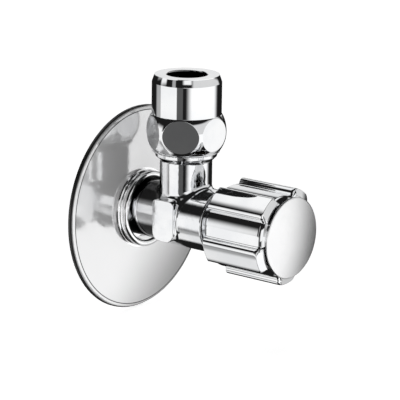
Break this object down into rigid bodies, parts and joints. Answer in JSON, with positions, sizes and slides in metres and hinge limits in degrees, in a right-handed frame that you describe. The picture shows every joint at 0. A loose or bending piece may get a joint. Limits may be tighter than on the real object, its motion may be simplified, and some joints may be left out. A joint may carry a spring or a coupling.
{
  "type": "angle stop valve",
  "caption": "Angle stop valve: inlet spigot through a sliding round wall rosette, cast body with spanner flats, fluted knob in front and a compression union nut on the upward outlet.",
  "frame": {"origin": "where the inlet axis crosses the wall plane, at the rosette's back rim", "axes": "+Y along the inlet axis into the wall, -Y towards the knob, +Z along the outlet axis upwards, X across"},
  "size_m": [0.056, 0.0683, 0.0668],
  "materials": {
    "cast_chrome": "bright chrome plate over a slightly grainy casting",
    "satin_chrome": "chrome plated sheet with a soft satin sheen",
    "nut_chrome": "mirror chrome plate on machined brass",
    "knob_chrome": "mirror chrome plate",
    "cap_chrome": "satin chrome plate",
    "brass": "machined brass",
    "steel": "plain stainless steel",
    "rubber": "black moulded rubber",
    "gasket": "black flat gasket",
    "slide_plastic": "white low-friction plastic"
  },
  "bodies": {
    "fixed_body": {"valve_body": "cast_chrome", "headwork_body": "brass", "headwork_gasket": "gasket", "thrust_washer": "slide_plastic", "outlet_seal": "rubber", "seal_washer": "steel"},
    "rosette": {"wall_rosette": "satin_chrome"},
    "clamp": {"clamping_ring": "brass"},
    "nut": {"union_nut": "nut_chrome"},
    "spindle_group": {"spindle": "brass", "spindle_inner_o_ring": "rubber", "spindle_outer_o_ring": "rubber", "spindle_retaining_ring": "steel", "knob": "knob_chrome", "knob_cap": "cap_chrome", "knob_bush": "brass", "knob_spring_washer": "steel", "knob_screw": "steel"},
    "piston_group": {"valve_piston": "brass", "piston_o_ring": "rubber", "seat_washer": "rubber", "washer_screw": "steel"}
  },
  "joints": [
    {"name": "knob_turn", "type": "hinge", "parent": "fixed_body", "child": "spindle_group", "pos_m": [0, -0.042, 0], "axis": [0, -1, 0], "range_deg": [0, 1440]},
    {"name": "piston_travel", "type": "slide", "parent": "fixed_body", "child": "piston_group", "axis": [0, -1, 0], "range_m": [0, 0.004]},
    {"name": "nut_lift", "type": "slide", "parent": "fixed_body", "child": "clamp", "axis": [0, 0, 1], "range_m": [0, 0.00669]},
    {"name": "nut_turn", "type": "hinge", "parent": "clamp", "child": "nut", "pos_m": [0, -0.017, 0.028], "axis": [0, 0, 1], "range_deg": [0, 1800]},
    {"name": "rosette_slide", "type": "slide", "parent": "fixed_body", "child": "rosette", "axis": [0, -1, 0], "range_m": [0, 0.0046]}
  ],
  "couplings": [
    {"joint": "piston_travel", "follows": "knob_turn", "m_per_rad": 0.00015915},
    {"joint": "nut_lift", "follows": "nut_turn", "m_per_rad": 0.00021279}
  ]
}
